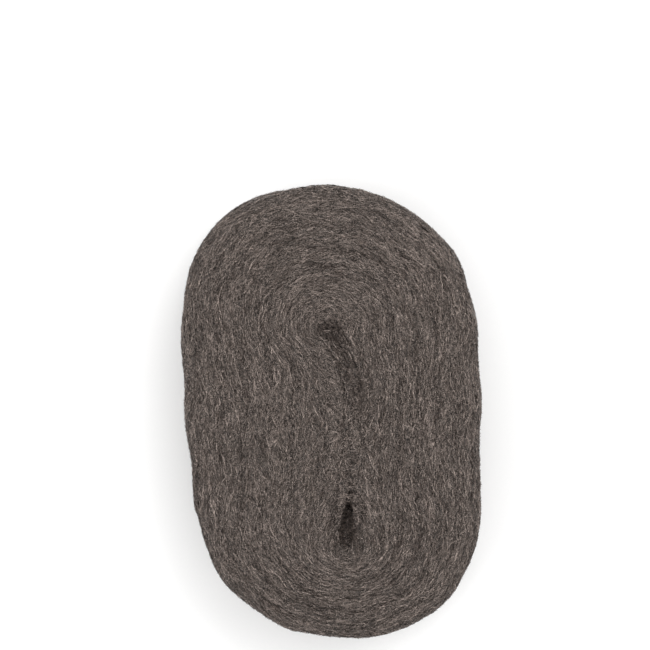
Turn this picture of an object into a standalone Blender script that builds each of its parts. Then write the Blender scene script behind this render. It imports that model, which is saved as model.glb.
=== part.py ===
"""Flat oval roll of fine steel wool, as it is sold for rubbing down and polishing.

The roll is one long band of wool. Its torn end lies in the middle, and the band is wound round
that end into an oval, so each turn lies on the last with nothing to hold it but its own fibres.
The roll rests on one end of the winding: the band stands on edge, and its upper edge shows as a
spiral of turns round a narrow slit, with an open eye where the band first folds back on itself.

+Y runs along the oval's long axis and +Z is up. The origin is the middle of the underside.
All sizes are in metres, and angles in radians. A layer is one thickness of the band, and layers
are counted outwards from the slit.
"""

import math

import bmesh
import bpy

# The roll as a whole
ROLL_LENGTH = 0.1807
ROLL_WIDTH = 0.1170
BAND_WIDTH = 0.055  # the band stands on edge, so this is the height, but for the lumps

# The winding
LAYERS = 6.60  # between the slit and the outer wall
INNER_TAIL = 0.10  # of a layer, where the torn end in the middle is feathered away
OUTER_TAIL = 0.42  # the same at the end that lies on the outer wall
TRIPS = LAYERS + 1 - INNER_TAIL - OUTER_TAIL  # round the oval, from one torn end to the other
TAIL_THINNING = (0.09, 0.36)  # trips over which the outer end grows thin, and by how many layers
TORN_END = (0.10, 0.007)  # trips over which a torn end narrows, and by how much at each edge
LAYER_GAP = 0.0003

# The core, which is the slit between the two first runs of the band
HEAD_FOLD = 0.031  # from the roll's middle to the centre of the innermost fold at the head
FOOT_FOLD = 0.052  # the same at the foot
SLIT_WIDTH = 0.0009
FOOT_EYE_WIDTH = 0.0062  # the innermost fold stands open at both ends of the slit
FOOT_EYE_LENGTH = 0.024
HEAD_EYE_WIDTH = 0.0036
HEAD_EYE_LENGTH = 0.016
CORE_BOW = 0.0095  # how far the slit is pushed towards +X where it is pushed furthest
FOOT_SHIFT = 0.0038  # how far its foot is
BOW_PLACE = 0.4  # where it is pushed furthest, from -1 at the foot to 1 at the head

# The ends of the winding, above and below
DOME = 0.0020  # the middle of the top stands this far above its rim
TOP_SHOULDER = (0.016, 0.012)  # width and drop of the rounding round the top
FOOT_SHOULDER = (0.010, 0.007)  # the same under the roll, where its weight flattens it
SLIT_DIP = (0.005, 0.0018)  # width and depth of the hollow along the slit
HEAD_FURROW = (0.0045, 0.0026)  # the same of the furrow that is added to it over its head
FURROW_PLACES = (0.05, 0.50)  # where the furrow starts, and where it is at its deepest
TOP_GROOVE = 0.0015  # depth of the groove between two turns
FOOT_GROOVE = 0.0012
TOP_FLAT = 0.12  # of a turn's thickness that isn't rounded into its grooves
FOOT_FLAT = 0.40

# What keeps a hand-wound roll from being regular
END_LEAN = 0.0048  # the head leans this far towards -X, and the foot as far towards +X
WALL_BELLY = 0.0010
SHOULDER_FULLNESS = 0.029  # the oval's four corners are fuller than a half circle's
LUMP_SHIFT = 0.0008  # how far soft lumps push the turns sideways
LUMP_HEIGHT = 0.0014  # and up or down, at the top
LUMP_WAVES = ((31, 17, 9), (-23, 29, -12), (36, -11, 7), (11, 37, 11))  # a metre, along X, Y, Z

# How finely the shape is drawn
FOLD_STEPS = 16  # round each end of the oval
HALF_SIDE_STEPS = 6  # along half of a side
TRIP_STEPS = 2 * FOLD_STEPS + 4 * HALF_SIDE_STEPS
FOOT_SHARES = (0.0, 0.12, 0.30, 0.70, 0.88, 1.0)  # across the band's thickness
TOP_SHARES = (1.0, 0.90, 0.68, 0.32, 0.10, 0.0)
WALL_SHARES = (0.5,)  # up the band's face
SHARP_EDGE = math.radians(50)


def smooth(share):
    """Turn a share into one that starts and ends gently, and keep it between 0 and 1."""
    share = min(max(share, 0.0), 1.0)
    return share * share * (3 - 2 * share)


def settled(x, y, z):
    """Push a point aside by the soft lumps of wound wool, which leave the underside flat."""
    phases = [math.tau * (a * x + b * y + c * z) for a, b, c in LUMP_WAVES]
    lump = sum(math.sin(phase) for phase in phases) / len(phases)
    other = sum(math.cos(phase) for phase in phases) / len(phases)
    return x + LUMP_SHIFT * lump, y + LUMP_SHIFT * other, z + LUMP_HEIGHT * lump * z / BAND_WIDTH


def station(step):
    """Find the spoke of the oval that a step of the winding stands on.

    A trip starts half way down the -X side and runs on to the foot, the +X side and the head. A
    spoke is a place along the core line, from -1 at its foot to 1 at its head, and a heading.
    """
    step %= TRIP_STEPS
    if step < HALF_SIDE_STEPS:
        return -step / HALF_SIDE_STEPS, math.pi
    step -= HALF_SIDE_STEPS
    if step < FOLD_STEPS:
        return -1.0, math.pi * (1 + step / FOLD_STEPS)
    step -= FOLD_STEPS
    if step < 2 * HALF_SIDE_STEPS:
        return -1.0 + step / HALF_SIDE_STEPS, 0.0
    step -= 2 * HALF_SIDE_STEPS
    if step < FOLD_STEPS:
        return 1.0, math.pi * step / FOLD_STEPS
    step -= FOLD_STEPS
    return 1.0 - step / HALF_SIDE_STEPS, math.pi


def layers_inside(trips):
    """Count the layers inside the face that the band's inner side follows after so many trips.

    One trip further on, this is the face that its outer side follows.
    """
    taper, thinning = TAIL_THINNING
    outermost = LAYERS - thinning * smooth(1 - (TRIPS + 1 - trips) / taper)
    return min(max(trips - 1 + INNER_TAIL, 0.0), outermost)


def slit_half_width(place):
    """Give half of the slit's width at a place along the core line."""
    core_length = HEAD_FOLD + FOOT_FOLD
    from_foot = (1 + place) / 2 * core_length
    foot_eye = smooth(1 - from_foot / FOOT_EYE_LENGTH)
    head_eye = smooth(1 - (core_length - from_foot) / HEAD_EYE_LENGTH)
    width = SLIT_WIDTH + (FOOT_EYE_WIDTH - SLIT_WIDTH) * foot_eye
    return (width + (HEAD_EYE_WIDTH - SLIT_WIDTH) * head_eye) / 2


def core_shift(place):
    """Give the sideways bend of the slit at a place along the core line."""
    if place > BOW_PLACE:
        return CORE_BOW * (1 - ((place - BOW_PLACE) / (1 - BOW_PLACE)) ** 2)
    return FOOT_SHIFT + (CORE_BOW - FOOT_SHIFT) * smooth((1 + place) / (1 + BOW_PLACE))


def end_lean(y):
    """Give how far a place leans towards -X, which grows towards the roll's head and foot."""
    share = y / (ROLL_LENGTH / 2)
    return END_LEAN * share * abs(share)


def core_place(place, share):
    """Give the Y of a place along the core line that the turns are bent round.

    share says how far out a turn lies. The line is shorter for the outer turns, which are
    rounder than the slit that they start from.
    """
    straight = (ROLL_LENGTH - ROLL_WIDTH) / 2
    head = HEAD_FOLD * (1 - share) + straight * share
    foot = FOOT_FOLD * (1 - share) + straight * share
    return (head - foot) / 2 + (head + foot) / 2 * place


def reaches(place, heading):
    """Give the distances from the core line to the outer wall and to the face of the slit."""
    fullness = 1 + SHOULDER_FULLNESS * math.sin(2 * heading) ** 2
    return ROLL_WIDTH / 2 * fullness, slit_half_width(place)


def face_point(step, trips, inset, height):
    """Place a point of the face that parts two turns.

    step is the station and trips says how far along the winding the face is. inset moves the
    point off the face, towards the slit, and height is the point's height over the underside.
    """
    place, heading = station(step)
    layers = layers_inside(trips)
    share = layers / LAYERS
    wall, slit = reaches(place, heading)
    reach = slit + (wall - slit) * share - inset
    reach -= WALL_BELLY * share**2 * (1 - math.sin(math.pi * height / BAND_WIDTH))
    y = core_place(place, share) + reach * math.sin(heading)
    x = core_shift(place) * (1 - share) ** 2 + reach * math.cos(heading) - end_lean(y)
    return x, y, height


def rounding(distance, width, drop):
    """Give the drop of a rounded rim at a distance from its edge."""
    share = min(max(1 - distance / width, 0.0), 1.0)
    return drop * (1 - math.sqrt(1 - share * share))


def groove(across, flat, depth):
    """Give the drop into the grooves on both sides of a turn, at a share across its thickness."""
    share = (abs(2 * across - 1) - flat) / (1 - flat)
    return depth * max(share, 0.0) ** 2


def hollow_at_slit(distance, place):
    """Give the drop of the top beside the slit, at a distance from it."""
    width, depth = SLIT_DIP
    furrow_width, furrow_depth = HEAD_FURROW
    start, end = FURROW_PLACES
    furrow = furrow_depth * smooth((place - start) / (end - start))
    return depth * smooth(1 - distance / width) + furrow * smooth(1 - distance / furrow_width)


def end_narrowing(trips):
    """Give how far the band's edges stand back near its torn ends."""
    length, depth = TORN_END
    to_end = min(trips, TRIPS - trips)
    return depth * smooth(1 - to_end / length)


def edge_heights(step, across):
    """Give the heights of the band's lower and upper edge at a share across its thickness."""
    trips = step / TRIP_STEPS
    place, heading = station(step)
    inner, outer = layers_inside(trips), layers_inside(trips + 1)
    layers = inner + (outer - inner) * across
    wall, slit = reaches(place, heading)
    from_slit = (wall - slit) * layers / LAYERS
    from_wall = wall - slit - from_slit
    thickness = outer - inner

    low = rounding(from_wall, *FOOT_SHOULDER)
    low += groove(across, FOOT_FLAT, FOOT_GROOVE * thickness) + end_narrowing(trips)

    high = BAND_WIDTH - DOME * (layers / LAYERS) ** 2
    high -= rounding(from_wall, *TOP_SHOULDER) + hollow_at_slit(from_slit, place)
    high -= groove(across, TOP_FLAT, TOP_GROOVE * thickness) + end_narrowing(trips)
    return low, high


def band_section(step):
    """List the points round the band at one station, from the inner end of its lower edge.

    The points run outwards under the band, up its outer face, back over the top and down its
    inner face.
    """
    trips = step / TRIP_STEPS
    gap = LAYER_GAP / 2

    def at(across, height):
        inner = face_point(step, trips, -gap, height)
        outer = face_point(step, trips + 1, gap, height)
        return settled(*(a + (b - a) * across for a, b in zip(inner, outer)))

    def up_face(across, shares):
        low, high = edge_heights(step, across)
        return [at(across, low + (high - low) * share) for share in shares]

    under = [at(across, edge_heights(step, across)[0]) for across in FOOT_SHARES]
    over = [at(across, edge_heights(step, across)[1]) for across in TOP_SHARES]
    return under + up_face(1.0, WALL_SHARES) + over + up_face(0.0, reversed(WALL_SHARES))


def loft(mesh, sections):
    """Skin a row of closed sections that have the same number of points, and cap both ends."""
    rings = [[mesh.verts.new(point) for point in section] for section in sections]
    around = len(rings[0])
    for ring, after in zip(rings, rings[1:]):
        for i in range(around):
            j = (i + 1) % around
            mesh.faces.new((ring[i], ring[j], after[j], after[i]))
    mesh.faces.new(rings[0])
    mesh.faces.new(rings[-1])


def centre_over_origin(mesh):
    """Move a mesh sideways so that the middle of its box stands over the origin."""
    middle = []
    for axis in (0, 1):
        values = [vert.co[axis] for vert in mesh.verts]
        middle.append((min(values) + max(values)) / 2)
    bmesh.ops.translate(mesh, verts=mesh.verts, vec=(-middle[0], -middle[1], 0.0))


def wool_material():
    """Make the dull grey-brown of oiled steel wool."""
    material = bpy.data.materials.new("steel_wool")
    material.use_nodes = True
    shader = material.node_tree.nodes["Principled BSDF"]
    shader.inputs["Base Color"].default_value = (0.105, 0.086, 0.076, 1.0)
    shader.inputs["Metallic"].default_value = 0.7
    shader.inputs["Roughness"].default_value = 0.55
    return material


def wool_roll():
    """Wind the band from its inner end to its outer end, as one solid."""
    mesh = bmesh.new()
    last_step = round(TRIPS * TRIP_STEPS)
    loft(mesh, [band_section(step) for step in range(last_step + 1)])
    centre_over_origin(mesh)
    bmesh.ops.recalc_face_normals(mesh, faces=mesh.faces)

    data = bpy.data.meshes.new("wool_roll")
    mesh.to_mesh(data)
    mesh.free()
    data.materials.append(wool_material())
    data.shade_smooth()
    data.set_sharp_from_angle(angle=SHARP_EDGE)
    roll = bpy.data.objects.new("wool_roll", data)
    bpy.context.scene.collection.objects.link(roll)
    return roll


def main():
    """Clear the scene and model the roll."""
    for old in list(bpy.data.objects):
        bpy.data.objects.remove(old)
    wool_roll()


main()
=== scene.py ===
"""Dresses a flat oval roll of fine steel wool that lies on its end.

The roll is one band of wool wound on itself. Here the band is wound again with a fine surface,
and then covered with its fibres: thin slivers of steel that follow the winding, curl and cross
each other at small angles, bridge the grooves between two turns and dive in and out of the mat.

+Y runs along the oval's long axis and +Z is up. Sizes are in metres and angles in radians. A turn
is a place round the oval, from 0 to 1, and starts half way down the -X side. A share says how far
out a place lies, from 0 at the slit to 1 at the outer wall. A layer is one thickness of the band.
"""

from __future__ import annotations

import logging
import math
from dataclasses import asdict, dataclass, fields
from enum import Enum
from types import SimpleNamespace
from typing import Any, Union

import bmesh
import bpy
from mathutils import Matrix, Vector


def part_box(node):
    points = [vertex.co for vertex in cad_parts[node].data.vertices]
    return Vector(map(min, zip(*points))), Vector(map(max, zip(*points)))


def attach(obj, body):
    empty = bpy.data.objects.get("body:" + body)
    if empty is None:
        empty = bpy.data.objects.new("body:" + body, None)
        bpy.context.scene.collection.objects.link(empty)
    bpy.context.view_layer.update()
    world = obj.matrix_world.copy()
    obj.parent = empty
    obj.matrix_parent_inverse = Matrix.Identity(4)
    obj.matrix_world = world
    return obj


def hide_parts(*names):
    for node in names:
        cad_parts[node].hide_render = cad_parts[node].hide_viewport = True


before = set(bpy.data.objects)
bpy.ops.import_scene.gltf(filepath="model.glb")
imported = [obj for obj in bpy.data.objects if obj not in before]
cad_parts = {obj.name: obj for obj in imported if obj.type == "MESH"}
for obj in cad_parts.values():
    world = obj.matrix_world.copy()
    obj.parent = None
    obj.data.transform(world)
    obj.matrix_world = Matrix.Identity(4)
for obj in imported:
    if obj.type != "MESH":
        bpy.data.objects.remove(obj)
LOG = logging.getLogger("steel_wool_roll")

NODE = "wool_roll"
BODY = "root"

Number = Union["Field", float, int]
Colour = tuple[float, float, float]


class Field:
    """A value that changes over the surface, written as arithmetic instead of as nodes."""

    def __init__(self, tree: NodeTree, socket: bpy.types.NodeSocket) -> None:
        """Wrap an output socket of a tree."""
        self.tree = tree
        self.socket = socket

    def __add__(self, other: Number) -> Field:
        """Add a field or a number."""
        return self.tree.math("ADD", self, other)

    def __sub__(self, other: Number) -> Field:
        """Subtract a field or a number."""
        return self.tree.math("SUBTRACT", self, other)

    def __rsub__(self, other: Number) -> Field:
        """Subtract this field from a number."""
        return self.tree.math("SUBTRACT", other, self)

    def __mul__(self, other: Number) -> Field:
        """Multiply by a field or a number."""
        return self.tree.math("MULTIPLY", self, other)

    def __truediv__(self, other: Number) -> Field:
        """Divide by a field or a number."""
        return self.tree.math("DIVIDE", self, other)

    __radd__ = __add__
    __rmul__ = __mul__


class NodeTree:
    """A node tree with the calls that geometry trees and shader groups share."""

    def __init__(self, group: bpy.types.NodeTree) -> None:
        """Start writing in a node tree."""
        self.group = group

    def node(self, kind: str, inputs: dict[str, Any] | None = None, **settings: Any) -> bpy.types.Node:
        """Add a node.

        Args:
            kind: The node's type in Blender.
            inputs: A field or a plain value for each named input.
            **settings: Properties of the node, which are set before its inputs.

        Returns:
            The new node.
        """
        made = self.group.nodes.new(kind)
        for name, value in settings.items():
            setattr(made, name, value)
        for name, value in (inputs or {}).items():
            socket = next(s for s in made.inputs if s.enabled and s.name == name)
            self.feed(socket, value)
        return made

    def feed(self, socket: bpy.types.NodeSocket, value: Any) -> None:
        """Give an input socket a field or a plain value."""
        if isinstance(value, Field):
            self.group.links.new(value.socket, socket)
        else:
            socket.default_value = value

    def out(self, node: bpy.types.Node, name: str = "") -> Field:
        """Get a node's output of that name, or its first one."""
        return Field(self, next(s for s in node.outputs if s.enabled and s.name.startswith(name)))

    def math(self, operation: str, *values: Number) -> Field:
        """Add a Math node over fields and numbers."""
        made = self.node("ShaderNodeMath", operation=operation)
        for socket, value in zip(made.inputs, values):
            self.feed(socket, value)
        return self.out(made)

    def vector_math(self, operation: str, *values: Any) -> Field:
        """Add a Vector Math node over vector fields."""
        made = self.node("ShaderNodeVectorMath", operation=operation)
        for socket, value in zip(made.inputs, values):
            self.feed(socket, value)
        return self.out(made)

    def scaled(self, vector: Field, factor: Number) -> Field:
        """Multiply a vector field by a number."""
        inputs = {"Vector": vector, "Scale": factor}
        return self.out(self.node("ShaderNodeVectorMath", inputs, operation="SCALE"))

    def combine(self, x: Number, y: Number, z: Number) -> Field:
        """Make a vector field of three numbers."""
        return self.out(self.node("ShaderNodeCombineXYZ", {"X": x, "Y": y, "Z": z}))

    def parts(self, vector: Field) -> tuple[Field, Field, Field]:
        """Split a vector field into its three numbers."""
        made = self.node("ShaderNodeSeparateXYZ", {"Vector": vector})
        return self.out(made, "X"), self.out(made, "Y"), self.out(made, "Z")

    def ramp(self, value: Number, start: Number, end: Number, soft: bool = False) -> Field:
        """Rise from 0 to 1 while a value goes from start to end.

        Args:
            value: The field that is read.
            start: The value up to which the ramp is 0.
            end: The value from which it is 1.
            soft: Whether it starts and ends gently.

        Returns:
            The ramp.
        """
        places = {"Value": value, "From Min": start, "From Max": end}
        shape = "SMOOTHSTEP" if soft else "LINEAR"
        return self.out(self.node("ShaderNodeMapRange", places, interpolation_type=shape))

    def mix(self, a: Number, b: Number, share: Field) -> Field:
        """Blend two numbers."""
        return share * (b - a) + a

    def noise(self, place: Field, scale: float, detail: float = 0.0) -> Field:
        """Give three noise values from about -1 to 1 as one vector field."""
        made = self.node("ShaderNodeTexNoise", {"Vector": place, "Scale": scale, "Detail": detail})
        centred = self.vector_math("SUBTRACT", self.out(made, "Color"), (0.5, 0.5, 0.5))
        return self.scaled(centred, 2.0)


class GeometryTree(NodeTree):
    """A geometry node tree that makes one kind of piece, with named inputs for its sizes."""

    def __init__(self, name: str) -> None:
        """Start an empty tree with a geometry input and output."""
        super().__init__(bpy.data.node_groups.new(name, "GeometryNodeTree"))
        for side in ("INPUT", "OUTPUT"):
            self.group.interface.new_socket("Geometry", in_out=side, socket_type="NodeSocketGeometry")
        self.entry = self.group.nodes.new("NodeGroupInput")
        self.exit = self.group.nodes.new("NodeGroupOutput")
        self.identifiers: dict[str, str] = {}

    def geometry(self) -> Field:
        """Get the geometry that the modifier is given."""
        return self.out(self.entry, "Geometry")

    def input(self, name: str, kind: str = "Float") -> Field:
        """Add a named input to the modifier."""
        socket = self.group.interface.new_socket(name, in_out="INPUT", socket_type=f"NodeSocket{kind}")
        self.identifiers[name] = socket.identifier
        return Field(self, next(s for s in self.entry.outputs if s.identifier == socket.identifier))

    def sizes(self, kind: type) -> SimpleNamespace:
        """Add an input for each number among a dataclass's fields."""
        names = [field.name for field in fields(kind) if field.type == "float"]
        return SimpleNamespace(**{name: self.input(name) for name in names})

    def position(self) -> Field:
        """Read where each point is."""
        return self.out(self.node("GeometryNodeInputPosition"))

    def attribute(self, name: str, data_type: str = "FLOAT") -> Field:
        """Read an attribute that was stored under a name."""
        made = self.node("GeometryNodeInputNamedAttribute", {"Name": name}, data_type=data_type)
        return self.out(made, "Attribute")

    def store(
        self, geometry: Field, name: str, value: Any, data_type: str = "FLOAT", domain: str = "POINT"
    ) -> Field:
        """Store a field under a name, so that it stays with the geometry."""
        inputs = {"Geometry": geometry, "Name": name, "Value": value}
        made = self.node("GeometryNodeStoreNamedAttribute", inputs, data_type=data_type, domain=domain)
        return self.out(made)

    def place(self, geometry: Field, position: Field) -> Field:
        """Move each point to a position."""
        return self.out(self.node("GeometryNodeSetPosition", {"Geometry": geometry, "Position": position}))

    def random(self, low: Number, high: Number, identity: Field, seed: Number) -> Field:
        """Draw a number for each identity, the same on every run."""
        inputs = {"Min": low, "Max": high, "ID": identity, "Seed": seed}
        return self.out(self.node("FunctionNodeRandomValue", inputs, data_type="FLOAT"))

    def grid(self, columns: Number, rows: Number) -> Field:
        """Make a flat grid from 0 to 1 both ways, with its two places stored as across and up."""
        inputs = {"Size X": 1.0, "Size Y": 1.0, "Vertices X": columns, "Vertices Y": rows}
        mesh = self.out(self.node("GeometryNodeMeshGrid", inputs), "Mesh")
        x, y, _ = self.parts(self.position())
        return self.store(self.store(mesh, "across", x + 0.5), "up", y + 0.5)

    def finish(self, geometry: Field, material: Field | None = None) -> None:
        """Realize the geometry, give it its material and send it out."""
        geometry = self.out(self.node("GeometryNodeRealizeInstances", {"Geometry": geometry}))
        if material is not None:
            inputs = {"Geometry": geometry, "Material": material}
            geometry = self.out(self.node("GeometryNodeSetMaterial", inputs))
        self.group.links.new(geometry.socket, self.exit.inputs[0])

    def run(self, start: bpy.types.Mesh, values: dict[str, Any]) -> bpy.types.Mesh:
        """Run the tree over a mesh.

        Args:
            start: The mesh that the tree is given.
            values: A value for each named input.

        Returns:
            A plain mesh with the result.
        """
        carrier = bpy.data.objects.new(self.group.name, start)
        bpy.context.scene.collection.objects.link(carrier)
        modifier = carrier.modifiers.new(self.group.name, "NODES")
        modifier.node_group = self.group
        for name, value in values.items():
            modifier[self.identifiers[name]] = value
        depsgraph = bpy.context.evaluated_depsgraph_get()
        made = bpy.data.meshes.new_from_object(
            carrier.evaluated_get(depsgraph), preserve_all_data_layers=True, depsgraph=depsgraph
        )
        bpy.data.objects.remove(carrier)
        return made


@dataclass(frozen=True)
class Winding:
    """Sizes of the wound band."""

    length: float  # of the oval, before its ends lean
    width: float
    height: float
    layers: float = 6.60  # between the slit and the outer wall
    inner_tail: float = 0.10  # of a layer, how thick the torn end in the middle is
    outer_tail: float = 0.42  # the same for the end on the outer wall, before it grows thin
    tail_taper: float = 0.09  # trips over which that end grows thin
    tail_thinning: float = 0.36  # and by how much of a layer
    torn_length: float = 0.10  # trips over which a torn end narrows
    torn_drop: float = 0.007  # and by how much at each edge
    layer_gap: float = 0.0003
    head_fold: float = 0.031  # from the middle to the centre of the innermost fold at the head
    foot_fold: float = 0.052  # and to that of the one at the foot
    slit_width: float = 0.0009
    foot_eye_width: float = 0.0062
    foot_eye_length: float = 0.024
    head_eye_width: float = 0.0036
    head_eye_length: float = 0.016
    core_bow: float = 0.0095  # how far the slit is pushed towards +X where that is furthest
    foot_shift: float = 0.0038  # and how far at its foot
    bow_place: float = 0.4  # where it is furthest, from -1 at the foot to 1 at the head
    end_lean: float = 0.0048  # the head leans this far towards -X, and the foot towards +X
    set_aside: float = -0.0003  # from the oval's middle to the whole roll's, along +X
    set_back: float = 0.0008  # and along +Y
    fullness: float = 0.029  # how much further out the oval's four corners lie
    belly: float = 0.0010  # how far the outer wall bulges half way up
    dome: float = 0.0020  # how much lower the top is at its edge
    top_shoulder: float = 0.016  # width of the rounding round the top
    top_drop: float = 0.012  # and its depth
    foot_shoulder: float = 0.010
    foot_drop: float = 0.007
    dip_width: float = 0.005  # of the dip along the slit, to either side
    dip_depth: float = 0.0018
    furrow_width: float = 0.0045  # of the furrow that is added to the dip over the slit's head
    furrow_depth: float = 0.0026
    furrow_start: float = 0.05  # the place along the slit where the furrow starts
    furrow_end: float = 0.50  # and the one where it is at its deepest
    groove: float = 0.0015  # depth of the grooves between two turns
    groove_flat: float = 0.12  # how much of a turn is flat beside its middle
    foot_groove: float = 0.0012
    lump_shift: float = 0.0008  # how far soft lumps push the turns sideways
    lump_height: float = 0.0014  # and up or down, at the top

    OVAL_FOR_BOX = (0.9894, 1.0124, 0.9815)  # the ends lean, the last turn is thin, and lumps stand out

    @classmethod
    def filling(cls, low: Vector, high: Vector) -> Winding:
        """Size the winding by the box that the plain band fills."""
        width, length, height = ((b - a) * share for a, b, share in zip(low, high, cls.OVAL_FOR_BOX))
        return cls(length=length, width=width, height=height)


class Oval:
    """Works out, inside a geometry tree, where the places of the winding lie."""

    # How many waves of lumps there are to a metre along X, Y and Z.
    LUMP_WAVES = ((31.0, 17.0, 9.0), (-23.0, 29.0, -12.0), (36.0, -11.0, 7.0), (11.0, 37.0, 11.0))
    RUFFLES = 140.0  # the scale of the mat's own unevenness, for each metre
    RUFFLE = 0.0004  # and how far it moves a place

    def __init__(self, tree: GeometryTree) -> None:
        """Add the winding's sizes to a tree's inputs."""
        self.tree = tree
        self.size = tree.sizes(Winding)

    def trips(self) -> Field:
        """Count the trips round the oval from one torn end to the other."""
        size = self.size
        return size.layers + 1 - size.inner_tail - size.outer_tail

    def innermost(self, turn: Field) -> Field:
        """Count the layers that are missing beside the slit, just before the inner torn end."""
        return self.tree.math("MAXIMUM", turn - 1 + self.size.inner_tail, 0.0)

    def outermost(self, turn: Field) -> Field:
        """Count the layers under the outer wall, which steps in where the outer end lies.

        Args:
            turn: The place round the oval, from 0 to 1.

        Returns:
            The layers.
        """
        tree, size = self.tree, self.size
        past_end = tree.math("FRACT", turn - self.trips())
        full = tree.math("MINIMUM", past_end + size.layers - size.outer_tail, size.layers)
        return full - self.thinned(1 - past_end)

    def thinned(self, to_end: Field) -> Field:
        """Count the layers that the band has lost so many trips before its outer end."""
        return (1 - self.tree.ramp(to_end, 0.0, self.size.tail_taper, soft=True)) * self.size.tail_thinning

    def spoke(self, turn: Field, share: Field) -> SimpleNamespace:
        """Find the spoke of the oval that a place stands on.

        Equal steps of turn are equal lengths round the oval, at each share.

        Args:
            turn: The place round the oval. Its whole part doesn't count.
            share: How far out the place lies.

        Returns:
            The place along the core line from -1 to 1, the heading, half the core line's length,
            its middle and the length of one trip.
        """
        tree, size = self.tree, self.size
        straight = (size.length - size.width) / 2
        half_core = tree.mix((size.head_fold + size.foot_fold) / 2, straight, share)
        fold = tree.mix(size.slit_width / 2, size.width / 2, share) * math.pi
        trip = half_core * 4 + fold * 2
        along = tree.math("FRACT", turn) * trip
        foot_start, foot_end = half_core, half_core + fold
        head_start = foot_end + half_core * 2
        head_end = head_start + fold
        up = tree.ramp(along, foot_end, head_start) * 2
        place = up - tree.ramp(along, 0.0, foot_start) - tree.ramp(along, head_end, trip)
        bent = tree.ramp(along, foot_start, foot_end) + tree.ramp(along, head_start, head_end)
        middle = (size.head_fold - size.foot_fold) / 2 * (1 - share)
        heading = (bent + 1) * math.pi
        return SimpleNamespace(place=place, heading=heading, half=half_core, middle=middle, trip=trip)

    def slit(self, place: Field) -> Field:
        """Give half of the slit's width at a place along the core line."""
        tree, size = self.tree, self.size
        core = size.head_fold + size.foot_fold
        from_foot = (place + 1) / 2 * core
        foot_eye = 1 - tree.ramp(from_foot, 0.0, size.foot_eye_length, soft=True)
        head_eye = 1 - tree.ramp(core - from_foot, 0.0, size.head_eye_length, soft=True)
        width = size.slit_width + (size.foot_eye_width - size.slit_width) * foot_eye
        return (width + (size.head_eye_width - size.slit_width) * head_eye) / 2

    def shift(self, place: Field) -> Field:
        """Give the sideways bend of the slit at a place along the core line."""
        tree, size = self.tree, self.size
        rise = tree.ramp(place, -1.0, size.bow_place, soft=True)
        past = tree.ramp(place, size.bow_place, 1.0)
        lower = size.foot_shift + (size.core_bow - size.foot_shift) * rise
        return lower - size.core_bow * past * past

    def lean(self, y: Field) -> Field:
        """Give how far a place leans towards -X, or below zero towards +X, beside the foot."""
        share = y / (self.size.length / 2)
        return share * self.tree.math("ABSOLUTE", share) * self.size.end_lean

    def set_in_place(self, x: Field, y: Field, height: Field) -> Field:
        """Lean a point of the oval, push it aside by the lumps and centre it."""
        tree, size = self.tree, self.size
        lumpy = self.settled(tree.combine(x - self.lean(y), y, height))
        return tree.vector_math("SUBTRACT", lumpy, tree.combine(size.set_aside, size.set_back, 0.0))

    def point(self, spoke: SimpleNamespace, share: Field, inset: Number, height: Field) -> Field:
        """Place a point of the winding.

        Args:
            spoke: The spoke of the oval that the point stands on.
            share: How far out the point lies.
            inset: How far it is then moved towards the slit.
            height: Its height.

        Returns:
            The position.
        """
        tree, size = self.tree, self.size
        slit = self.slit(spoke.place)
        full = tree.math("SINE", spoke.heading * 2)
        wall = (full * full * size.fullness + 1) * size.width / 2
        bulge = 1 - tree.math("SINE", height / size.height * math.pi)
        reach = slit + (wall - slit) * share - inset - share * share * bulge * size.belly
        inwards = 1 - share
        x = self.shift(spoke.place) * inwards * inwards + reach * tree.math("COSINE", spoke.heading)
        y = spoke.middle + spoke.half * spoke.place + reach * tree.math("SINE", spoke.heading)
        return self.set_in_place(x, y, height)

    def settled(self, position: Field) -> Field:
        """Push a point aside by the soft lumps of wound wool, which leave the underside flat."""
        tree, size = self.tree, self.size
        height = tree.parts(position)[2] / size.height
        lump: Number = 0.0
        other: Number = 0.0
        for waves in self.LUMP_WAVES:
            phase = tree.vector_math("DOT_PRODUCT", position, waves) * math.tau
            lump = tree.math("SINE", phase) / len(self.LUMP_WAVES) + lump
            other = tree.math("COSINE", phase) / len(self.LUMP_WAVES) + other
        up = lump * size.lump_height * height
        moved = tree.combine(lump * size.lump_shift, other * size.lump_shift, up)
        ruffled = tree.noise(position, self.RUFFLES)
        ruffled = tree.vector_math("MULTIPLY", ruffled, tree.combine(1.0, 1.0, height))
        moved = tree.vector_math("ADD", moved, tree.scaled(ruffled, self.RUFFLE))
        return tree.vector_math("ADD", position, moved)

    def quarter(self, width: Field, drop: Field) -> Field:
        """Give about the length of a quarter of an ellipse."""
        return self.tree.math("SQRT", (width * width + drop * drop) / 2) * (math.pi / 2)

    def rounding(self, distance: Field, width: Field, drop: Field) -> Field:
        """Give the drop of a rounded rim at a distance from its edge."""
        tree = self.tree
        near = tree.ramp(distance, width, 0.0)
        return (1 - tree.math("SQRT", 1 - near * near)) * drop

    def grooved(self, across: Field) -> Field:
        """Rise from 0 on the middle of a turn to 1 in the grooves beside it."""
        off = self.tree.math("ABSOLUTE", across * 2 - 1)
        slope = self.tree.ramp(off, self.size.groove_flat, 1.0)
        return slope * slope

    def top(self, share: Field, place: Field) -> Field:
        """Give the height of the top without its grooves and its rim.

        Args:
            share: How far out a place lies.
            place: Where it lies along the core line.

        Returns:
            The height, which is lower along the slit and most of all at its head.
        """
        tree, size = self.tree, self.size
        from_slit = share * size.width / 2
        dip = (1 - tree.ramp(from_slit, 0.0, size.dip_width, soft=True)) * size.dip_depth
        furrow = (1 - tree.ramp(from_slit, 0.0, size.furrow_width, soft=True)) * size.furrow_depth
        furrow = furrow * tree.ramp(place, size.furrow_start, size.furrow_end, soft=True)
        return size.height - share * share * size.dome - dip - furrow


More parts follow.
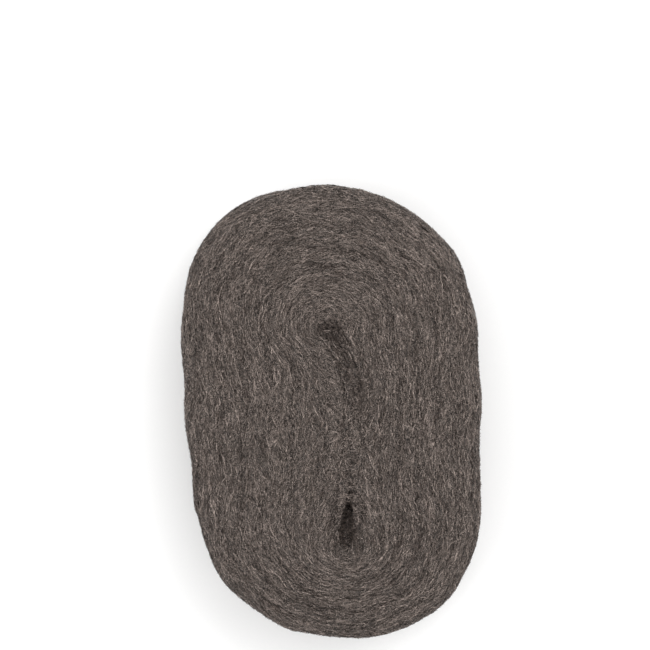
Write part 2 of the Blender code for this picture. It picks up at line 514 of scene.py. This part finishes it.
@dataclass(frozen=True)
class WoolFinish:
    """The finish of bare steel wool, from the dark inside of the mat to its bright slivers."""

    name: str
    dark: Colour
    light: Colour
    metallic: float
    roughness: tuple[float, float]
    grain: tuple[float, float, float]  # the unevenness's scales, for each metre
    curl: float  # how much the unevenness is bent
    contrast: float
    bump: float  # height of the unevenness, or 0 where the fibres themselves give it
    follows_lay: bool  # whether the streaks follow the piece's own map

    def material(self, steel: SteelGroup) -> bpy.types.Material:
        """Make the material.

        Args:
            steel: The group that gives steel its uneven colour.

        Returns:
            The new material.
        """
        material = bpy.data.materials.new(self.name)
        material.use_nodes = True
        tree = NodeTree(material.node_tree)
        shader = material.node_tree.nodes["Principled BSDF"]
        if self.follows_lay:
            place = tree.out(tree.node("ShaderNodeUVMap", uv_map="lay"))
        else:
            place = tree.out(tree.node("ShaderNodeTexCoord"), "Object")
        inputs = {
            "Place": place,
            "Tone": tree.out(tree.node("ShaderNodeAttribute", attribute_name="tone"), "Fac"),
            "Grain": self.grain,
            "Curl": self.curl,
            "Contrast": self.contrast,
            "Dark": (*self.dark, 1.0),
            "Light": (*self.light, 1.0),
            "Smoothest": self.roughness[0],
            "Roughest": self.roughness[1],
        }
        made = tree.node("ShaderNodeGroup", node_tree=steel.group)
        for name, value in inputs.items():
            tree.feed(made.inputs[name], value)
        tree.feed(shader.inputs["Base Color"], tree.out(made, "Color"))
        tree.feed(shader.inputs["Roughness"], tree.out(made, "Roughness"))
        shader.inputs["Metallic"].default_value = self.metallic
        if self.bump:
            bump = tree.node("ShaderNodeBump", {"Height": tree.out(made, "Height"), "Distance": self.bump})
            tree.feed(shader.inputs["Normal"], tree.out(bump))
        return material


class SteelGroup:
    """The uneven colour and shine of oiled steel, as a group that each finish uses."""

    INPUTS = (
        ("Place", "Vector"),
        ("Tone", "Float"),
        ("Grain", "Vector"),
        ("Curl", "Float"),
        ("Contrast", "Float"),
        ("Dark", "Color"),
        ("Light", "Color"),
        ("Smoothest", "Float"),
        ("Roughest", "Float"),
    )
    OUTPUTS = (("Color", "Color"), ("Roughness", "Float"), ("Height", "Float"))
    MIDDLE_GRAIN = 0.5  # where the grain leaves the tone as it is
    ROUGH_GRAIN = (0.3, 0.7)  # the grains of the smoothest and the roughest steel

    def __init__(self) -> None:
        """Build the group."""
        self.group = bpy.data.node_groups.new("oiled_steel", "ShaderNodeTree")
        for in_out, sockets in (("INPUT", self.INPUTS), ("OUTPUT", self.OUTPUTS)):
            for name, kind in sockets:
                self.group.interface.new_socket(name, in_out=in_out, socket_type=f"NodeSocket{kind}")
        tree = NodeTree(self.group)
        entry = self.group.nodes.new("NodeGroupInput")
        leave = self.group.nodes.new("NodeGroupOutput")
        given = {name: tree.out(entry, name) for name, _ in self.INPUTS}

        place = tree.vector_math("MULTIPLY", given["Place"], given["Grain"])
        texture = {"Vector": place, "Scale": 1.0, "Detail": 2.0, "Roughness": 0.6}
        texture["Distortion"] = given["Curl"]
        grain = tree.out(tree.node("ShaderNodeTexNoise", texture), "Fac")
        level = given["Tone"] + (grain - self.MIDDLE_GRAIN) * given["Contrast"]
        shades = {"Factor": tree.ramp(level, 0.0, 1.0), "A": given["Dark"], "B": given["Light"]}
        colour = tree.out(tree.node("ShaderNodeMix", shades, data_type="RGBA"), "Result")
        rough = tree.mix(given["Smoothest"], given["Roughest"], tree.ramp(grain, *self.ROUGH_GRAIN))
        for name, value in (("Color", colour), ("Roughness", rough), ("Height", grain)):
            tree.feed(leave.inputs[name], value)


class Zone(Enum):
    """The parts of the roll's surface, by how far they lie from the slit over the top."""

    SLIT_WALL = (-0.011, -0.001)
    TOP = (-0.003, 0.062)
    WALL = (0.056, 0.112)
    UNDERSIDE = (0.108, 0.158)
    RIM = (0.045, 0.100)
    SLIT_COVER = (-1.0, 1.0)  # all of the skin over the slit


@dataclass(frozen=True)
class FibreLay:
    """How one crop of fibres lies on the mat."""

    name: str
    zone: Zone
    density: float  # fibres on each square metre
    seed: int
    steps: int = 4  # the straight runs that each fibre is made of
    shortest: float = 0.0025
    longest: float = 0.0110
    breadth: float = 0.00030
    stray: float = 0.50  # the largest angle to the winding where nothing is tangled
    curl: float = 260.0  # how many bends a fibre has in each metre
    wander: float = 0.0008  # how far they take it sideways
    lift: float = 0.0005  # how far it rises and dives
    level: float = 0.0  # its mean height over the mat
    end_lift: float = -0.0005  # how much higher its ends lie
    twist: float = 0.9  # the most that its ribbon is turned on edge at its middle
    # The tone differs at random from fibre to fibre; where it reaches high, as on the top's own fibres, the
    # few brightest also stand in for glints: painted highlights.
    tone_power: float = 1.4  # the higher, the fewer bright fibres
    tone_low: float = 0.05  # the tone of the darkest fibre
    tone_high: float = 0.73  # and of the brightest one


class WoundBand:
    """The band of wool, wound from its inner torn end to its outer one."""

    STATIONS = 980
    ROUND = 32  # points round the band's section, in four equal runs
    OPENING = 0.002  # trips over which the section opens at each end of the band
    CLOSED = 1e-6  # points nearer to each other than this are joined
    PUFF = 0.0002  # how much higher than the plain band it stands
    TONE = 0.55
    GROOVE_SHADE = 0.10  # how much lower the tone is in a groove, as painted shade

    def __init__(self, winding: Winding, finish: bpy.types.Material) -> None:
        """Keep the sizes and the finish."""
        self.winding = winding
        self.finish = finish

    def _tree(self) -> GeometryTree:
        """Write the tree that winds the band."""
        tree = GeometryTree("wind_band")
        oval = Oval(tree)
        size = oval.size
        stations, around = tree.input("Stations", "Int"), tree.input("Round", "Int")
        strip = tree.grid(stations, around + 1)
        run, side = tree.attribute("across"), tree.attribute("up") * 4
        trips = run * oval.trips()
        start = 1 - size.inner_tail
        inner = tree.ramp(trips, start, start + size.layers) * size.layers
        outer = tree.ramp(trips + 1, start, start + size.layers) * size.layers
        outer = tree.math("MINIMUM", outer, size.layers - oval.thinned(oval.trips() - trips))
        to_end = tree.math("MINIMUM", run, 1 - run) * oval.trips()
        open_end = tree.ramp(to_end, 0.0, self.OPENING)
        over = tree.ramp(side, 0.0, 1.0) - tree.ramp(side, 2.0, 3.0)
        over = (over - 0.5) * open_end + 0.5
        high_side = tree.ramp(side, 1.0, 2.0) - tree.ramp(side, 3.0, 4.0)
        share = (inner + (outer - inner) * over) / size.layers
        thickness = outer - inner

        from_wall = (1 - share) * size.width / 2
        groove = oval.grooved(over) * thickness
        narrowed = (1 - tree.ramp(to_end, 0.0, size.torn_length, soft=True)) * size.torn_drop
        low = oval.rounding(from_wall, size.foot_shoulder, size.foot_drop)
        low = low + groove * size.foot_groove + narrowed
        spoke = oval.spoke(trips, share)
        high = oval.top(share, spoke.place) - oval.rounding(from_wall, size.top_shoulder, size.top_drop)
        high = high - groove * size.groove - narrowed
        height = low + (high - low) * high_side + self.PUFF
        position = oval.point(spoke, share, (over - 0.5) * size.layer_gap, height)

        flank = size.height * (tree.ramp(side, 1.0, 2.0) + tree.ramp(side, 3.0, 4.0))
        edges = size.width / 2 / size.layers * (tree.ramp(side, 0.0, 1.0) + tree.ramp(side, 2.0, 3.0))
        lay = tree.combine(trips * spoke.trip, flank + edges, 0.0)
        strip = tree.store(strip, "lay", lay, "FLOAT2", "CORNER")
        # The tone is lower in the grooves between turns: painted shade.
        strip = tree.store(strip, "tone", self.TONE - groove * self.GROOVE_SHADE)
        strip = tree.place(strip, position)
        closed = {"Geometry": strip, "Distance": self.CLOSED}
        strip = tree.out(tree.node("GeometryNodeMergeByDistance", closed))
        tree.finish(strip, tree.input("Finish", "Material"))
        return tree

    def build(self) -> bpy.types.Object:
        """Wind the band and make it stand for the plain one.

        Returns:
            The band's object.
        """
        values: dict[str, Any] = asdict(self.winding)
        values.update(Stations=self.STATIONS, Round=self.ROUND, Finish=self.finish)
        mesh = self._tree().run(bpy.data.meshes.new("strip"), values)
        outside_out(mesh)
        return piece("wound_band", mesh)


class Skin:
    """A surface that fibres are laid on, with a map and what they read at each place."""

    NAME = "skin"
    COLUMNS = 2
    ROWS = 2

    def __init__(self, winding: Winding) -> None:
        """Build the skin."""
        tree = GeometryTree(self.NAME)
        position, values = self.shape(tree, Oval(tree))
        skin = tree.grid(self.COLUMNS, self.ROWS)
        for name, value in values.items():
            skin = tree.store(skin, name, value)
        lay = tree.combine(values["turn"], values["out"], 0.0)
        skin = tree.store(skin, "lay", lay, "FLOAT2", "CORNER")
        tree.finish(tree.place(skin, position))
        self.mesh = tree.run(bpy.data.meshes.new(self.NAME), asdict(winding))

    def shape(self, tree: GeometryTree, oval: Oval) -> tuple[Field, dict[str, Number]]:
        """Work out where the skin lies.

        Args:
            tree: The tree that makes the skin.
            oval: The places of the winding in that tree.

        Returns:
            The position of each point of its grid, and the values that are stored there.
        """
        raise NotImplementedError


class RollSkin(Skin):
    """The skin of the whole roll, which goes down the slit, over the top and round."""

    NAME = "skin_of_roll"
    COLUMNS = 620
    ROWS = 300
    LAP = 0.1  # of a trip, that the skin goes on at both ends
    SLIT_DEPTH = 0.016  # how far it reaches down into the slit
    FILL = 0.7  # of a groove's depth that the skin follows
    TANGLE_WIDTH = 0.016  # how far from the slit fibres are tangled
    TANGLE_START = -0.2  # the place along the slit from which they are more so, up to its head
    FOOT_TANGLE = 0.3  # how tangled they are before it, where 1 is the most

    def shape(self, tree: GeometryTree, oval: Oval) -> tuple[Field, dict[str, Number]]:
        """Work out where the skin lies."""
        size = oval.size
        turn = tree.attribute("across") * (1 + 2 * self.LAP) - self.LAP
        once = tree.math("FRACT", turn)
        half = size.width / 2
        flat = half - size.top_shoulder
        rim = oval.quarter(size.top_shoulder, size.top_drop)
        wall = size.height - size.dome - size.top_drop - size.foot_drop
        low_rim = oval.quarter(size.foot_shoulder, size.foot_drop)
        under = half - size.foot_shoulder
        ends = [flat, flat + rim, flat + rim + wall, flat + rim + wall + low_rim]
        out = tree.attribute("up") * (ends[3] + under + self.SLIT_DEPTH) - self.SLIT_DEPTH

        into_slit = tree.ramp(out, 0.0, -self.SLIT_DEPTH) * self.SLIT_DEPTH
        over_rim = tree.ramp(out, ends[0], ends[1]) * (math.pi / 2)
        down_wall = tree.ramp(out, ends[1], ends[2])
        under_rim = tree.ramp(out, ends[2], ends[3]) * (math.pi / 2)
        under_roll = tree.ramp(out, ends[3], ends[3] + under)
        top_reach = tree.ramp(out, 0.0, ends[0]) * flat + tree.math("SINE", over_rim) * size.top_shoulder
        low_reach = (1 - tree.math("COSINE", under_rim)) * size.foot_shoulder + under_roll * under
        top_share = top_reach / half
        share = tree.math("MINIMUM", top_share - low_reach / half, oval.outermost(once) / size.layers)
        share = tree.math("MAXIMUM", share, oval.innermost(once) / size.layers)

        layer = share * size.layers
        first = once + size.inner_tail  # the layers up to the first turn's outer side
        in_first = tree.math("LESS_THAN", layer, first)
        across = tree.mix(tree.math("FRACT", layer - first + 1), layer / first, in_first)
        thickness = tree.mix(1.0, tree.math("MINIMUM", first, 1.0), in_first)
        on_top = 1 - tree.ramp(out, ends[0], ends[1], soft=True)
        groove = oval.grooved(across) * on_top * thickness
        spoke = oval.spoke(turn, share)
        height = oval.top(top_share, spoke.place) - into_slit - groove * size.groove * self.FILL
        height = height - (1 - tree.math("COSINE", over_rim)) * size.top_drop - down_wall * wall
        height = height - tree.math("SINE", under_rim) * size.foot_drop
        height = tree.math("MAXIMUM", height, 0.0) + WoundBand.PUFF
        near_slit = 1 - tree.ramp(out, 0.0, self.TANGLE_WIDTH, soft=True)
        near_head = tree.ramp(spoke.place, self.TANGLE_START, 1.0, soft=True)
        values = {
            "turn": turn,
            "out": out,
            "trip": spoke.trip,
            "groove": groove,
            "tangle": near_slit * tree.mix(self.FOOT_TANGLE, 1.0, near_head),
            "cover": 1.0,
        }
        return oval.point(spoke, share, 0.0, height), values


class SlitCover(Skin):
    """A narrow skin over the slit, on which fibres reach from one lip to the other."""

    NAME = "skin_of_slit"
    COLUMNS = 160
    ROWS = 24
    WIDTH = 0.0095
    ENDS = (-1.12, 1.06)  # the places along the slit that it reaches to
    FILL = 0.0010  # how much of the hollow along the slit its middle fills
    EYE_DEPTH = 0.0053  # how far its middle hangs down in the open eye
    EYE = (-0.30, -0.66)  # the places where the eye starts and where it is at its deepest
    EYE_END = (-1.08, -0.92)  # the eye's own end, in the same way from outside
    EYE_ROUND = 0.12  # how much sooner it ends beside its middle
    EYE_SIDE = (0.4, 1.3)  # of half the slit's width, from where to where its floor rises
    EYE_TANGLE = (0.3, 0.7)  # how tangled the fibres are beside it and in it
    DIMPLE_DEPTH = 0.0012  # how far the skin's middle hangs down at the furrow's head
    DIMPLE = (0.72, 0.92)  # the places where that starts and where it is at its deepest
    FULL_COVER = 0.7  # of its half-width, up to where it bears all its fibres

    def shape(self, tree: GeometryTree, oval: Oval) -> tuple[Field, dict[str, Number]]:
        """Work out where the skin lies."""
        size = oval.size
        along, up = tree.attribute("across"), tree.attribute("up")
        place = tree.mix(*self.ENDS, along)
        aside = (up - 0.5) * self.WIDTH
        off = tree.math("ABSOLUTE", up * 2 - 1)
        core = size.head_fold + size.foot_fold
        y = (size.head_fold - size.foot_fold) / 2 + core / 2 * place
        round_end = tree.ramp(place - off * off * self.EYE_ROUND, *self.EYE_END, soft=True)
        in_eye = tree.ramp(place, *self.EYE, soft=True) * round_end
        in_dimple = tree.ramp(place, *self.DIMPLE, soft=True)
        hollow = 1 - tree.ramp(off, 0.0, 1.0, soft=True)
        floor_edge, floor_end = (oval.slit(place) * share for share in self.EYE_SIDE)
        pit = 1 - tree.ramp(tree.math("ABSOLUTE", aside), floor_edge, floor_end, soft=True)
        sunk = pit * in_eye * self.EYE_DEPTH + hollow * (in_dimple * self.DIMPLE_DEPTH - self.FILL)
        height = oval.top(off * self.WIDTH / size.width, place) - sunk
        values = {
            "turn": along,
            "out": aside,
            "trip": core * (self.ENDS[1] - self.ENDS[0]) / 2,
            # The hollow along the slit, where the fibres' tone holds painted shade
            "groove": hollow,
            "tangle": tree.mix(*self.EYE_TANGLE, in_eye),
            "cover": 1 - tree.ramp(off, self.FULL_COVER, 1.0),
        }
        return oval.set_in_place(oval.shift(place) + aside, y, height), values


class FibreTree(GeometryTree):
    """The tree that lays a crop of fibres on a skin, as twisted ribbons."""

    BEND = 0.35  # the most that a fibre's heading turns from its middle to its end
    TANGLED = 2.3  # the most that it points aside besides where all is tangled
    AHEAD = 0.04  # of half a fibre, over which its direction is read
    TWIST_CHANGE = 0.6  # the most that its twist changes from its middle to its end
    HALF_BREADTHS = (0.3, 0.7)  # of the crop's breadth
    TAPER = 0.75  # how much thinner a fibre is at its ends
    ON_FLOOR = 0.00005  # the least height of a fibre
    STRAND_STEP = 3.7  # how far apart two fibres read the noise
    RISE_ROW = 40.0  # where they read what lifts them
    GLINT_ROW = 80.0  # and where their glints
    GLINTS = 2.5  # how many painted glints there are to a bend
    GLINT = 0.7  # how much these painted highlights change the tone
    BURIED = (-0.6, 0.4)  # painted shade of the mat's depth: the rises up to which a fibre is darkest and from which it is brightest
    BURIED_TONE = 0.5  # of its full tone where that painted shade is darkest
    GROOVE_SHADE = 0.10  # how much darker it is in a groove or in the hollow along the slit, as painted shade
    CELL = (0.4, 0.3)  # how much of its cell it fills to either side, along it and across

    def __init__(self) -> None:
        """Write the tree."""
        super().__init__("lay_fibres")
        self.want = want = self.sizes(FibreLay)
        zone = self.input("zone_start"), self.input("zone_end")
        self.seed, steps = self.input("seed", "Int"), self.input("steps", "Int")
        self.skin = self.geometry()
        self.turn, self.outward = self.attribute("turn"), self.attribute("out")
        points = self._strewn(*zone)
        fibres = self._ribbons(points, steps)

        self.strand = self.attribute("strand", "INT")
        self.number = self.strand * 1.0
        self.along, self.side = self.attribute("along"), self.attribute("side")
        chance, aside = self._drawn(1), self._drawn(2, -1.0)
        self.half_length = self.mix(want.shortest, want.longest, chance * chance) / 2
        strayed = aside * self.math("ABSOLUTE", aside) * want.stray
        self.angle = strayed + aside * self.attribute("tangle") * self.TANGLED
        self.bend = self._drawn(3, -1.0) * self.BEND

        here = self._spot(self.along)
        under = self._sampled(self.position(), here)
        ahead = self.out(self._sampled(self.position(), self._spot(self.along + self.AHEAD)))
        normal = self.out(self._sampled(self.out(self.node("GeometryNodeInputNormal")), here))
        run = self.vector_math("NORMALIZE", self.vector_math("SUBTRACT", ahead, self.out(under)))
        ends = self.along * self.along * self.along * self.along
        rise = self._noise_at(self.along, self.RISE_ROW)[0]
        lift = want.level + rise * want.lift * 2 + ends * want.end_lift
        half_breadth = want.breadth * self._drawn(6, *self.HALF_BREADTHS) * (1 - ends * self.TAPER)
        to_edge = self.scaled(self._edge(normal, run), self.side * half_breadth)
        position = self.vector_math("ADD", self.out(under), self.scaled(normal, lift))
        x, y, z = self.parts(self.vector_math("ADD", position, to_edge))
        position = self.combine(x, y, self.math("MAXIMUM", z, self.ON_FLOOR))

        on_map = {"Boolean": self.out(under, "Is Valid")}
        missed = self.out(self.node("FunctionNodeBooleanMath", on_map, operation="NOT"))
        fibres = self.store(fibres, "missed", missed, "BOOLEAN")
        fibres = self.store(fibres, "tone", self._tone(rise))
        fibres = self.store(fibres, "OFBake", self._cells(points), "FLOAT2", "CORNER")
        fibres = self.place(fibres, position)
        cut = {"Geometry": fibres, "Selection": self.attribute("missed", "BOOLEAN")}
        fibres = self.out(self.node("GeometryNodeDeleteGeometry", cut))
        self.finish(fibres, self.input("finish", "Material"))

    def _strewn(self, zone_start: Field, zone_end: Field) -> Field:
        """Strew numbered points over the zone of the skin that the crop covers."""
        turn, outward = self.turn, self.outward
        once = self.math("GREATER_THAN", turn, 0.0) * self.math("LESS_THAN", turn, 1.0)
        inside = self.math("GREATER_THAN", outward, zone_start) * self.math("LESS_THAN", outward, zone_end)
        density = once * inside * self.attribute("cover") * self.want.density
        scatter = {"Mesh": self.skin, "Density": density, "Seed": self.seed}
        points = self.out(self.node("GeometryNodeDistributePointsOnFaces", scatter), "Points")
        return self.store(points, "strand", self.out(self.node("GeometryNodeInputIndex")), "INT")

    def _ribbons(self, points: Field, steps: Field) -> Field:
        """Give each point a flat ribbon, with its two places from -1 to 1 as along and side."""
        sizes = {"Size X": 1.0, "Size Y": 1.0, "Vertices X": steps + 1, "Vertices Y": 2}
        ribbon = self.out(self.node("GeometryNodeMeshGrid", sizes), "Mesh")
        x, y, _ = self.parts(self.position())
        ribbon = self.store(self.store(ribbon, "along", x * 2), "side", y * 2)
        laid = self.node("GeometryNodeInstanceOnPoints", {"Points": points, "Instance": ribbon})
        return self.out(self.node("GeometryNodeRealizeInstances", {"Geometry": self.out(laid)}))

    def _drawn(self, draw: int, low: Number = 0.0, high: Number = 1.0) -> Field:
        """Draw a number for each fibre."""
        return self.random(low, high, self.strand, self.seed + draw)

    def _noise_at(self, place: Field, row: float) -> tuple[Field, Field, Field]:
        """Read a row of the noise at a place along each fibre."""
        column = place * self.half_length * self.want.curl
        where = self.combine(column, self.number * self.STRAND_STEP, row)
        return self.parts(self.noise(where, 1.0, detail=1.0))

    def _spot(self, place: Field) -> Field:
        """Find the place on the skin's map that a place along the fibre lies over."""
        noise_x, noise_y, _ = self._noise_at(place, 0.0)
        run = place * self.half_length
        heading = self.angle + self.bend * place
        to_turn = run * self.math("COSINE", heading) + noise_x * self.want.wander
        to_side = run * self.math("SINE", heading) + noise_y * self.want.wander
        return self.combine(self.turn + to_turn / self.attribute("trip"), self.outward + to_side, 0.0)

    def _sampled(self, value: Field, spot: Field) -> bpy.types.Node:
        """Read a field of the skin at a place on its map."""
        uv_map = self.attribute("lay", "FLOAT_VECTOR")
        inputs = {"Mesh": self.skin, "Value": value, "UV Map": uv_map, "Sample UV": spot}
        return self.node("GeometryNodeSampleUVSurface", inputs, data_type="FLOAT_VECTOR")

    def _edge(self, normal: Field, run: Field) -> Field:
        """Find the direction from a ribbon's middle to its edge, as its twist turns it."""
        flat_side = self.vector_math("NORMALIZE", self.vector_math("CROSS_PRODUCT", normal, run))
        change = self._drawn(5, -self.TWIST_CHANGE, self.TWIST_CHANGE)
        twist = self._drawn(4, -1.0) * self.want.twist + self.along * change
        flat_part = self.scaled(flat_side, self.math("COSINE", twist))
        steep_part = self.scaled(normal, self.math("SINE", twist))
        return self.vector_math("ADD", flat_part, steep_part)

    def _tone(self, rise: Field) -> Field:
        """Give the fibres' tone, with painted shade where they dive into the mat or lie in a groove and
        painted glints along them.
        """
        chance = self.math("POWER", self._drawn(7), self.want.tone_power)
        tone = self.mix(self.want.tone_low, self.want.tone_high, chance)
        # Lower where the fibre dives into the mat: painted shade.
        depth_shade = self.mix(self.BURIED_TONE, 1.0, self.ramp(rise, *self.BURIED, soft=True))
        # Painted glints along the fibre: its tone rises and falls with a noise.
        glint = self._noise_at(self.along * self.GLINTS, self.GLINT_ROW)[0]
        # Lower in the grooves and in the hollow along the slit: painted shade.
        shaded = 1 - self.attribute("groove") * self.GROOVE_SHADE
        return tone * depth_shade * (1 + glint * self.GLINT) * shaded

    def _cells(self, points: Field) -> Field:
        """Give each fibre a cell of its own on a square map."""
        count = self.node("GeometryNodeAttributeDomainSize", {"Geometry": points}, component="POINTCLOUD")
        columns = self.math("CEIL", self.math("SQRT", self.out(count)))
        long, broad = self.CELL
        map_x = self.math("FLOORED_MODULO", self.number, columns) + self.along * long + 0.5
        map_y = self.math("FLOOR", self.number / columns) + self.side * broad + 0.5
        return self.combine(map_x / columns, map_y / columns, 0.0)


class FibreMat:
    """Lays crops of fibres and makes a piece of each."""

    HELPERS = (
        "across", "up", "turn", "out", "trip", "groove", "tangle", "cover",
        "strand", "along", "side", "missed", "lay",
    )

    def __init__(self, finish: bpy.types.Material) -> None:
        """Write the tree that lays the fibres."""
        self.finish = finish
        self.lay = FibreTree()

    def build(self, skin: bpy.types.Mesh, crop: FibreLay) -> bpy.types.Object:
        """Lay one crop of fibres.

        Args:
            skin: What they are laid on.
            crop: How they lie.

        Returns:
            The fibres' object.
        """
        values: dict[str, Any] = {k: v for k, v in asdict(crop).items() if isinstance(v, float)}
        values["zone_start"], values["zone_end"] = crop.zone.value
        values.update(seed=crop.seed, steps=crop.steps, finish=self.finish)
        mesh = self.lay.run(skin, values)
        for name in self.HELPERS:
            if name in mesh.attributes:
                mesh.attributes.remove(mesh.attributes[name])
        return piece(crop.name, mesh)


def outside_out(mesh: bpy.types.Mesh) -> None:
    """Make the faces of a closed mesh point outwards, and shade them smooth."""
    shell = bmesh.new()
    shell.from_mesh(mesh)
    bmesh.ops.recalc_face_normals(shell, faces=shell.faces)
    shell.to_mesh(mesh)
    shell.free()
    mesh.shade_smooth()


def piece(name: str, mesh: bpy.types.Mesh) -> bpy.types.Object:
    """Make an object of a mesh, let it ride on the roll and stand for the plain band.

    Args:
        name: The piece's name.
        mesh: Its mesh, in its place.

    Returns:
        The object.
    """
    mesh.name = name
    made = bpy.data.objects.new(name, mesh)
    bpy.context.scene.collection.objects.link(made)
    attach(made, BODY)
    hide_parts(NODE)
    triangles = sum(len(face.vertices) - 2 for face in mesh.polygons)
    LOG.info("%s: %d triangles", name, triangles)
    return made


@dataclass(frozen=True)
class Studio:
    """The pale floor, the soft lights and the camera that looks straight down."""

    view_width: float = 0.260  # what the picture covers from side to side
    framed: float = 0.6  # and at which share of the roll's height
    look_aside: float = -0.00265  # from the roll's middle to the picture's, to the right
    look_up: float = 0.0342  # and upwards
    roll: float = math.radians(0.86)  # the roll's head leans this far to the left
    distance: float = 1.5
    sensor: float = 36.0  # in millimetres
    floor_size: float = 6.0
    floor_roughness: float = 0.85
    speckles: float = 900.0  # the scale of the floor's speckles, for each metre
    floor_greys: tuple[Colour, Colour] = ((0.96, 0.96, 0.96), (0.985, 0.985, 0.98))

    def camera(self, top: float) -> None:
        """Put the camera over the roll.

        Args:
            top: The height of the plane whose width is view_width.
        """
        data = bpy.data.cameras.new("camera")
        data.sensor_width = self.sensor
        data.lens = self.sensor * self.distance / self.view_width
        camera = bpy.data.objects.new("camera", data)
        cos, sin = math.cos(self.roll), math.sin(self.roll)
        x = self.look_aside * cos + self.look_up * sin
        y = self.look_up * cos - self.look_aside * sin
        camera.location = (x, y, top + self.distance)
        camera.rotation_euler = (0.0, 0.0, -self.roll)
        bpy.context.scene.collection.objects.link(camera)
        bpy.context.scene.camera = camera

    def light(self, name: str, place: tuple[float, float, float], size: float, power: float) -> None:
        """Hang a soft square light that faces the roll."""
        data = bpy.data.lights.new(name, "AREA")
        data.size = size
        data.energy = power
        lamp = bpy.data.objects.new(name, data)
        lamp.location = place
        lamp.rotation_euler = (-Vector(place)).to_track_quat("-Z", "Y").to_euler()
        bpy.context.scene.collection.objects.link(lamp)

    def floor(self) -> None:
        """Lay the pale floor."""
        mesh = bpy.data.meshes.new("floor")
        half = self.floor_size / 2
        corners = [(-half, -half, 0.0), (half, -half, 0.0), (half, half, 0.0), (-half, half, 0.0)]
        mesh.from_pydata(corners, [], [(0, 1, 2, 3)])
        material = bpy.data.materials.new("pale_floor")
        material.use_nodes = True
        tree = NodeTree(material.node_tree)
        shader = material.node_tree.nodes["Principled BSDF"]
        place = tree.out(tree.node("ShaderNodeTexCoord"), "Object")
        speckle = tree.out(tree.node("ShaderNodeTexNoise", {"Vector": place, "Scale": self.speckles}), "Fac")
        grey, white = ((*colour, 1.0) for colour in self.floor_greys)
        shades = {"Factor": speckle, "A": grey, "B": white}
        mixer = tree.node("ShaderNodeMix", shades, data_type="RGBA")
        tree.feed(shader.inputs["Base Color"], tree.out(mixer, "Result"))
        shader.inputs["Roughness"].default_value = self.floor_roughness
        mesh.materials.append(material)
        ground = bpy.data.objects.new("floor", mesh)
        bpy.context.scene.collection.objects.link(ground)

    def build(self, roll_height: float) -> None:
        """Set up the whole studio.

        Args:
            roll_height: How high the roll is.
        """
        world = bpy.data.worlds.new("studio")
        world.use_nodes = True
        backdrop = world.node_tree.nodes["Background"]
        backdrop.inputs["Color"].default_value = (1.0, 1.0, 1.0, 1.0)
        backdrop.inputs["Strength"].default_value = 1.0
        bpy.context.scene.world = world
        bpy.context.scene.view_settings.view_transform = "Standard"
        self.floor()
        self.light("key_light", place=(0.8, 0.9, 1.6), size=1.6, power=18.0)
        self.light("fill_light", place=(-1.2, -0.4, 1.3), size=1.2, power=8.0)
        self.camera(top=roll_height * self.framed)


MAT = WoolFinish(
    name="wool_inside",
    dark=(0.030, 0.0243, 0.0213),
    light=(0.25, 0.203, 0.178),
    metallic=0.4,
    roughness=(0.5, 0.75),
    grain=(520.0, 2600.0, 1.0),
    curl=1.6,
    contrast=2.2,
    bump=0.0005,
    follows_lay=True,
)
FIBRES = WoolFinish(
    name="wool_fibre",
    dark=(0.012, 0.0098, 0.0085),
    light=(0.488, 0.395, 0.346),
    metallic=0.55,
    roughness=(0.3, 0.5),
    # A fine grain of uneven colour, which also stands in for glints on the fibres' kinks: painted
    # highlights.
    grain=(2300.0, 2300.0, 2300.0),
    curl=0.0,
    contrast=2.2,
    bump=0.0,
    follows_lay=False,
)
DENSE = 1e6  # fibres on each square metre of the top and of the slit's walls
ROLL_CROPS = (
    FibreLay("top_mat_low", Zone.TOP, DENSE, seed=11, level=-0.0001),
    FibreLay("top_mat_high", Zone.TOP, DENSE, seed=17, level=0.0001),
    # Their high tones make a few fibres bright as painted glints, besides their random tone.
    FibreLay(
        "top_fibres_low", Zone.TOP, DENSE, seed=23, breadth=0.00025, level=0.0003,
        tone_power=2.4, tone_high=1.2
    ),
    FibreLay(
        "top_fibres_high", Zone.TOP, DENSE, seed=29, longest=0.0150, breadth=0.00024, level=0.0005,
        tone_power=3.0, tone_high=1.7
    ),
    FibreLay("wall_mat", Zone.WALL, 720000.0, seed=37, longest=0.012),
    FibreLay("underside_mat", Zone.UNDERSIDE, 400000.0, seed=41, longest=0.012, lift=0.0002, level=-0.0001),
    FibreLay("slit_fibres", Zone.SLIT_WALL, DENSE, seed=43, stray=1.2, lift=0.0008),
    FibreLay(
        "loose_hairs", Zone.RIM, 9000.0, seed=53, steps=12, shortest=0.010, longest=0.024, breadth=0.00016,
        stray=0.9, curl=110.0, wander=0.0022, lift=0.0007, level=0.0006, end_lift=0.0012, tone_low=0.3
    ),
)
COVER_CROP = FibreLay("slit_bridge", Zone.SLIT_COVER, 2600000.0, seed=47, stray=0.9)


def main() -> None:
    """Build the band, its fibres and the studio."""
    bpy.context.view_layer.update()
    winding = Winding.filling(*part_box(NODE))
    steel = SteelGroup()
    WoundBand(winding, MAT.material(steel)).build()
    fibres = FibreMat(FIBRES.material(steel))
    roll_skin = RollSkin(winding)
    for crop in ROLL_CROPS:
        fibres.build(roll_skin.mesh, crop)
    fibres.build(SlitCover(winding).mesh, COVER_CROP)
    Studio().build(winding.height)


if __name__ == "__main__":
    logging.basicConfig(level=logging.INFO, format="%(message)s")
    main()
